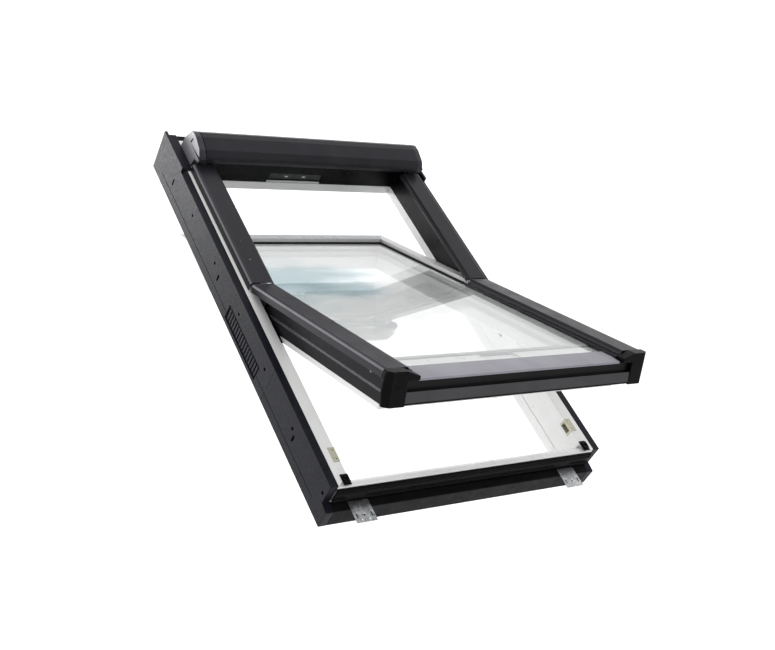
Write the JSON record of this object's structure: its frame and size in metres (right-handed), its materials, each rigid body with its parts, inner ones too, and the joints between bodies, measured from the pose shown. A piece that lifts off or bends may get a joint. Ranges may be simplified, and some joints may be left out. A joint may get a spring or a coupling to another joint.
{
  "type": "roof skylight",
  "caption": "Roof skylight: plastic frame with insulation blocks, sheet claddings and hood, centre-pivot glazed sash, handle with side bolts, fixing brackets.",
  "frame": {"origin": "midway between the four fixing screw holes, on the underside of the brackets (the top of the roof battens)", "axes": "+X across the window to the right when seen from outside, +Y up the roof slope towards the hood, +Z out of the roof"},
  "size_m": [0.78, 1.252, 0.6077],
  "materials": {
    "white_plastic": "smooth satin white",
    "block_foam": "moulded grey insulation with a fine skin",
    "grey_sheet": "satin grey coating",
    "gasket": "soft matt black",
    "light_gasket": "soft light grey",
    "glass": "clear",
    "zinc_sheet": "galvanised",
    "screw_steel": "dull",
    "steel": "dull",
    "handle_alloy": "satin",
    "striker_zinc": "dull beige zinc",
    "pivot_metal": "satin black",
    "black_plastic": "matt black"
  },
  "bodies": {
    "frame": {"frame_rail_left": "white_plastic", "frame_rail_right": "white_plastic", "frame_rail_top": "white_plastic", "frame_rail_bottom": "white_plastic", "block_left_upper": "block_foam", "block_left_lower": "block_foam", "block_right_upper": "block_foam", "block_right_lower": "block_foam", "block_top": "block_foam", "block_bottom": "block_foam", "sill_profile": "black_plastic", "sill_gasket": "gasket", "cladding_upper_left": "grey_sheet", "cladding_upper_right": "grey_sheet", "hood": "grey_sheet", "hood_cap_left": "grey_sheet", "hood_cap_right": "grey_sheet", "top_cover": "black_plastic", "top_keeper": "pivot_metal", "side_cover_left": "black_plastic", "side_cover_right": "black_plastic", "striker_left": "striker_zinc", "striker_right": "striker_zinc", "corner_block_left": "black_plastic", "corner_block_right": "black_plastic", "bracket_bottom_left": "zinc_sheet", "bracket_bottom_right": "zinc_sheet", "bracket_top_left": "zinc_sheet", "bracket_top_right": "zinc_sheet", "bracket_screws": "screw_steel", "block_screws": "screw_steel", "pivot_track_left": "pivot_metal", "pivot_track_right": "pivot_metal"},
    "sash": {"sash_rail_left": "white_plastic", "sash_rail_right": "white_plastic", "sash_rail_top": "white_plastic", "sash_rail_bottom": "white_plastic", "sash_strip_left": "black_plastic", "sash_strip_right": "black_plastic", "strip_screws": "screw_steel", "cladding_lower_left": "grey_sheet", "cladding_lower_right": "grey_sheet", "cladding_bottom": "grey_sheet", "corner_cap_left": "black_plastic", "corner_cap_right": "black_plastic", "pane_strip": "grey_sheet", "outer_pane": "glass", "pane_spacer": "steel", "inner_pane": "glass", "glazing_gasket": "gasket", "inner_gasket": "light_gasket", "pivot_shoe_left": "pivot_metal", "pivot_shoe_right": "pivot_metal", "gearbox_case": "steel", "handle_rose": "handle_alloy"},
    "handle": {"handle_lever": "handle_alloy", "handle_spindle": "steel"},
    "bolt_left": {"lock_rod_left": "steel"},
    "bolt_right": {"lock_rod_right": "steel"}
  },
  "joints": [
    {"name": "sash_pivot", "type": "hinge", "parent": "frame", "child": "sash", "pos_m": [0, 0.01, 0.08], "axis": [-1, 0, 0], "range_deg": [-28.2, 131.8]},
    {"name": "handle_turn", "type": "hinge", "parent": "sash", "child": "handle", "pos_m": [0, -0.43333, 0.31771], "axis": [0, 0.4726, 0.8813], "range_deg": [0, 90]},
    {"name": "bolt_left_slide", "type": "slide", "parent": "sash", "child": "bolt_left", "axis": [-1, 0, 0], "range_m": [0, 0.013]},
    {"name": "bolt_right_slide", "type": "slide", "parent": "sash", "child": "bolt_right", "axis": [1, 0, 0], "range_m": [0, 0.013]}
  ],
  "couplings": [
    {"joint": "bolt_left_slide", "follows": "handle_turn", "m_per_rad": 0.0082761},
    {"joint": "bolt_right_slide", "follows": "handle_turn", "m_per_rad": 0.0082761}
  ]
}
